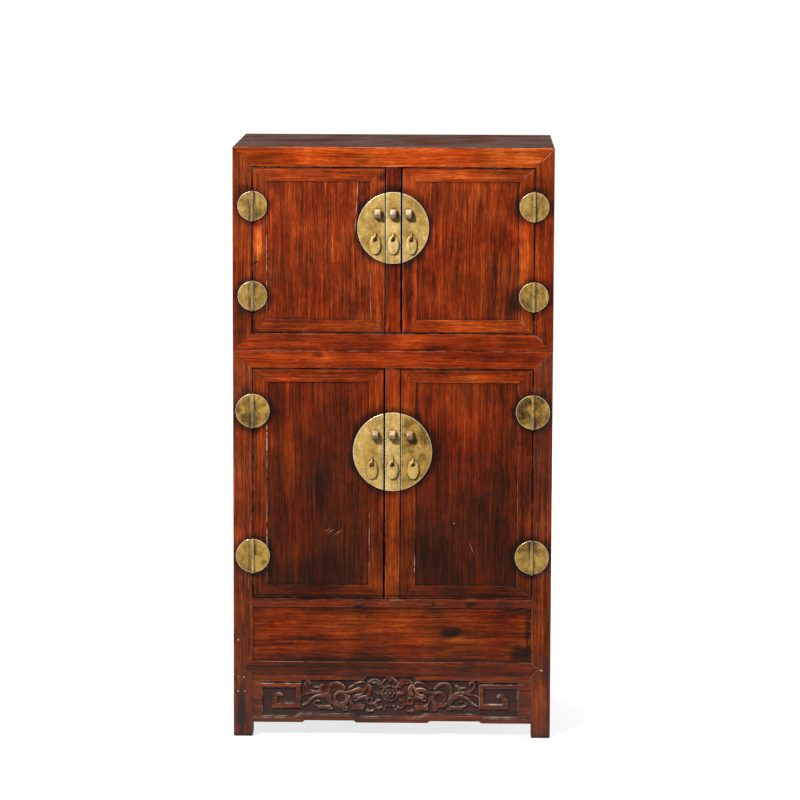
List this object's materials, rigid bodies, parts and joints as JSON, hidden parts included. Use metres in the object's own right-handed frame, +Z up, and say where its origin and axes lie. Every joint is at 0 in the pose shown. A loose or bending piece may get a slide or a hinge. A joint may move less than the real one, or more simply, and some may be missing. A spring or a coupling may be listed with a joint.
{
  "type": "compound cabinet",
  "caption": "Upright two-tier hardwood cabinet: upper chest on a lower cabinet, framed doors with centre stiles, round brass hinges and lock plates, carved apron.",
  "frame": {"origin": "on the floor under the middle of the whole object, brass included", "axes": "+Z up, -Y is the front with the doors, +X to the right of someone who faces the front"},
  "size_m": [0.48, 0.337, 0.896],
  "materials": {
    "red_hardwood": "satin, worn polish",
    "inner_hardwood": "dry, unpolished",
    "aged_brass": "aged, brushed"
  },
  "bodies": {
    "carcase": {"upper_posts": "red_hardwood", "upper_top_frame": "red_hardwood", "upper_top_panel": "red_hardwood", "upper_base_frame": "red_hardwood", "upper_floor_panel": "inner_hardwood", "upper_side_panels": "red_hardwood", "upper_back_panel": "inner_hardwood", "lower_posts": "red_hardwood", "lower_top_frame": "red_hardwood", "lower_top_panel": "inner_hardwood", "sill_rail": "red_hardwood", "compartment_front_panel": "red_hardwood", "base_frame": "red_hardwood", "compartment_floor": "inner_hardwood", "lower_side_panels": "red_hardwood", "lower_back_panel": "inner_hardwood", "aprons": "red_hardwood", "bearers": "inner_hardwood", "shelf": "inner_hardwood", "hinge_post_leaves": "aged_brass", "hinge_pins": "aged_brass"},
    "upper_left_door": {"upper_left_door_frame": "red_hardwood", "upper_left_door_panel": "red_hardwood", "upper_left_door_hinge_leaves": "aged_brass", "upper_left_door_lock_plate": "aged_brass", "upper_left_door_lock_staple": "aged_brass", "upper_left_door_pull_loop": "aged_brass"},
    "upper_right_door": {"upper_right_door_frame": "red_hardwood", "upper_right_door_panel": "red_hardwood", "upper_right_door_hinge_leaves": "aged_brass", "upper_right_door_lock_plate": "aged_brass", "upper_right_door_lock_staple": "aged_brass", "upper_right_door_pull_loop": "aged_brass"},
    "upper_centre_stile": {"upper_centre_stile": "red_hardwood", "upper_stile_lock_plate": "aged_brass", "upper_stile_lock_staple": "aged_brass", "upper_stile_pull_loop": "aged_brass"},
    "upper_left_door_pull": {"upper_left_door_pull": "aged_brass"},
    "upper_stile_pull": {"upper_stile_pull": "aged_brass"},
    "upper_right_door_pull": {"upper_right_door_pull": "aged_brass"},
    "lower_left_door": {"lower_left_door_frame": "red_hardwood", "lower_left_door_panel": "red_hardwood", "lower_left_door_hinge_leaves": "aged_brass", "lower_left_door_lock_plate": "aged_brass", "lower_left_door_lock_staple": "aged_brass", "lower_left_door_pull_loop": "aged_brass"},
    "lower_right_door": {"lower_right_door_frame": "red_hardwood", "lower_right_door_panel": "red_hardwood", "lower_right_door_hinge_leaves": "aged_brass", "lower_right_door_lock_plate": "aged_brass", "lower_right_door_lock_staple": "aged_brass", "lower_right_door_pull_loop": "aged_brass"},
    "lower_centre_stile": {"lower_centre_stile": "red_hardwood", "lower_stile_lock_plate": "aged_brass", "lower_stile_lock_staple": "aged_brass", "lower_stile_pull_loop": "aged_brass"},
    "lower_left_door_pull": {"lower_left_door_pull": "aged_brass"},
    "lower_stile_pull": {"lower_stile_pull": "aged_brass"},
    "lower_right_door_pull": {"lower_right_door_pull": "aged_brass"},
    "compartment_lid": {"compartment_lid": "inner_hardwood"}
  },
  "joints": [
    {"name": "upper_left_door_hinge", "type": "hinge", "parent": "carcase", "child": "upper_left_door", "pos_m": [-0.2105, -0.15435, 0.74175], "axis": [0, 0, -1], "range_deg": [0, 170]},
    {"name": "upper_right_door_hinge", "type": "hinge", "parent": "carcase", "child": "upper_right_door", "pos_m": [0.2105, -0.15435, 0.74175], "axis": [0, 0, 1], "range_deg": [0, 170]},
    {"name": "upper_centre_stile_slide", "type": "slide", "parent": "carcase", "child": "upper_centre_stile", "axis": [0, -1, 0], "range_m": [0, 0.09]},
    {"name": "upper_left_door_pull_swing", "type": "hinge", "parent": "upper_left_door", "child": "upper_left_door_pull", "pos_m": [-0.027, -0.15745, 0.763], "axis": [-1, 0, 0], "range_deg": [0, 95]},
    {"name": "upper_stile_pull_swing", "type": "hinge", "parent": "upper_centre_stile", "child": "upper_stile_pull", "pos_m": [0, -0.15745, 0.763], "axis": [-1, 0, 0], "range_deg": [0, 95]},
    {"name": "upper_right_door_pull_swing", "type": "hinge", "parent": "upper_right_door", "child": "upper_right_door_pull", "pos_m": [0.027, -0.15745, 0.763], "axis": [-1, 0, 0], "range_deg": [0, 95]},
    {"name": "lower_left_door_hinge", "type": "hinge", "parent": "carcase", "child": "lower_left_door", "pos_m": [-0.2105, -0.15435, 0.389], "axis": [0, 0, -1], "range_deg": [0, 170]},
    {"name": "lower_right_door_hinge", "type": "hinge", "parent": "carcase", "child": "lower_right_door", "pos_m": [0.2105, -0.15435, 0.389], "axis": [0, 0, 1], "range_deg": [0, 170]},
    {"name": "lower_centre_stile_slide", "type": "slide", "parent": "carcase", "child": "lower_centre_stile", "axis": [0, -1, 0], "range_m": [0, 0.09]},
    {"name": "lower_left_door_pull_swing", "type": "hinge", "parent": "lower_left_door", "child": "lower_left_door_pull", "pos_m": [-0.031, -0.15745, 0.424], "axis": [-1, 0, 0], "range_deg": [0, 95]},
    {"name": "lower_stile_pull_swing", "type": "hinge", "parent": "lower_centre_stile", "child": "lower_stile_pull", "pos_m": [0, -0.15745, 0.424], "axis": [-1, 0, 0], "range_deg": [0, 95]},
    {"name": "lower_right_door_pull_swing", "type": "hinge", "parent": "lower_right_door", "child": "lower_right_door_pull", "pos_m": [0.031, -0.15745, 0.424], "axis": [-1, 0, 0], "range_deg": [0, 95]},
    {"name": "compartment_lid_lift", "type": "slide", "parent": "carcase", "child": "compartment_lid", "axis": [0, 0, 1], "range_m": [0, 0.08]}
  ]
}
